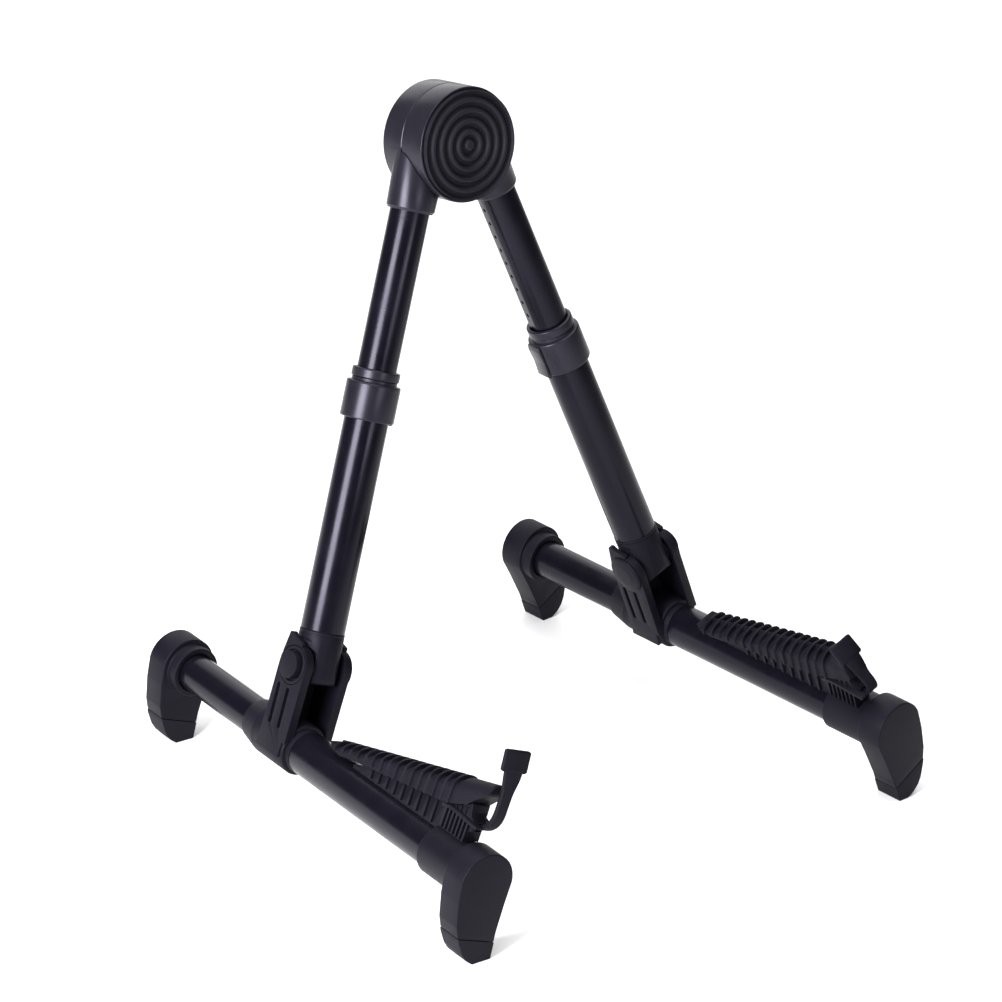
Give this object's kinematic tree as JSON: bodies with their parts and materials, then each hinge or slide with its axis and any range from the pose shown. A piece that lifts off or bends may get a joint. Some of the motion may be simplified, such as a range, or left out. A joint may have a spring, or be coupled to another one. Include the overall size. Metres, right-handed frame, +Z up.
{
  "type": "instrument stand",
  "caption": "Folding A-frame floor stand for a guitar: telescopic legs on a turning hub with a ringed pad, and foot bars with ribbed cradle arms and retaining tabs.",
  "frame": {"origin": "centre of the footprint box on the floor", "axes": "+Z up, the cradle arms point to -Y, +X to the right seen from the front"},
  "size_m": [0.3524, 0.324, 0.4072],
  "materials": {
    "shell": "satin moulded black",
    "tube": "semi-gloss black",
    "foot": "fine matt black",
    "rubber": "soft matt black",
    "steel": "plain"
  },
  "bodies": {
    "hub_base": {"left_hub_shell": "shell", "hub_bolt": "steel", "hub_nut": "steel", "wave_washer": "steel", "rear_cap": "shell", "left_upper_tube": "tube"},
    "right_upper": {"right_hub_shell": "shell", "hub_pad": "rubber", "right_upper_tube": "tube"},
    "left_lower": {"left_height_ring": "shell", "left_height_collar": "shell", "left_lower_tube": "tube", "left_knuckle": "foot"},
    "left_lock": {"left_lock_rocker": "shell"},
    "left_foot": {"left_yoke": "foot", "left_knuckle_pin": "steel", "left_pin_cap": "foot", "left_release_spring": "steel", "left_front_tube": "tube", "left_rear_tube": "tube", "left_cradle_bracket": "foot", "left_cradle_arm": "rubber", "left_front_foot": "foot", "left_front_sole": "rubber", "left_rear_foot": "foot", "left_rear_sole": "rubber"},
    "left_button": {"left_release_button": "foot"},
    "left_tab": {"left_retaining_tab": "rubber"},
    "right_lower": {"right_height_ring": "shell", "right_height_collar": "shell", "right_lower_tube": "tube", "right_knuckle": "foot"},
    "right_lock": {"right_lock_rocker": "shell"},
    "right_foot": {"right_yoke": "foot", "right_knuckle_pin": "steel", "right_pin_cap": "foot", "right_release_spring": "steel", "right_front_tube": "tube", "right_rear_tube": "tube", "right_cradle_bracket": "foot", "right_cradle_arm": "rubber", "right_front_foot": "foot", "right_front_sole": "rubber", "right_rear_foot": "foot", "right_rear_sole": "rubber"},
    "right_button": {"right_release_button": "foot"},
    "right_tab": {"right_retaining_tab": "rubber"}
  },
  "joints": [
    {"name": "hub_fold", "type": "hinge", "parent": "hub_base", "child": "right_upper", "pos_m": [-0.00198, 0.08346, 0.3712], "axis": [0, 0.9852, -0.1716], "range_deg": [0, 36]},
    {"name": "left_leg_slide", "type": "slide", "parent": "hub_base", "child": "left_lower", "axis": [0.3535, 0.1606, 0.9216], "range_m": [-0.0184, 0.0644]},
    {"name": "left_lock_rock", "type": "hinge", "parent": "left_lower", "child": "left_lock", "pos_m": [-0.05868, 0.06053, 0.22712], "axis": [-0.1302, 0.984, -0.1215], "range_deg": [0, 4], "stiffness_Nm_per_rad": 0.3},
    {"name": "left_foot_fold", "type": "hinge", "parent": "left_lower", "child": "left_foot", "pos_m": [-0.12735, 0.03464, 0.09097], "axis": [0.9354, -0.0607, -0.3482], "range_deg": [-84, 0]},
    {"name": "left_release_press", "type": "slide", "parent": "left_foot", "child": "left_button", "axis": [0.9354, -0.0607, -0.3482], "range_m": [0, 0.0008], "stiffness_N_per_m": 1500},
    {"name": "left_tab_flex", "type": "hinge", "parent": "left_foot", "child": "left_tab", "pos_m": [-0.14607, -0.13751, 0.07068], "axis": [0.9354, -0.0607, -0.3482], "range_deg": [0, 25], "stiffness_Nm_per_rad": 0.4},
    {"name": "right_leg_slide", "type": "slide", "parent": "right_upper", "child": "right_lower", "axis": [-0.3535, 0.1606, 0.9216], "range_m": [-0.0184, 0.0644]},
    {"name": "right_lock_rock", "type": "hinge", "parent": "right_lower", "child": "right_lock", "pos_m": [0.05472, 0.06053, 0.22712], "axis": [-0.1302, -0.984, 0.1215], "range_deg": [0, 4], "stiffness_Nm_per_rad": 0.3},
    {"name": "right_foot_fold", "type": "hinge", "parent": "right_lower", "child": "right_foot", "pos_m": [0.12339, 0.03464, 0.09097], "axis": [0.9354, 0.0607, 0.3482], "range_deg": [-84, 0]},
    {"name": "right_release_press", "type": "slide", "parent": "right_foot", "child": "right_button", "axis": [-0.9354, -0.0607, -0.3482], "range_m": [0, 0.0008], "stiffness_N_per_m": 1500},
    {"name": "right_tab_flex", "type": "hinge", "parent": "right_foot", "child": "right_tab", "pos_m": [0.14211, -0.13751, 0.07068], "axis": [0.9354, 0.0607, 0.3482], "range_deg": [0, 25], "stiffness_Nm_per_rad": 0.4}
  ]
}
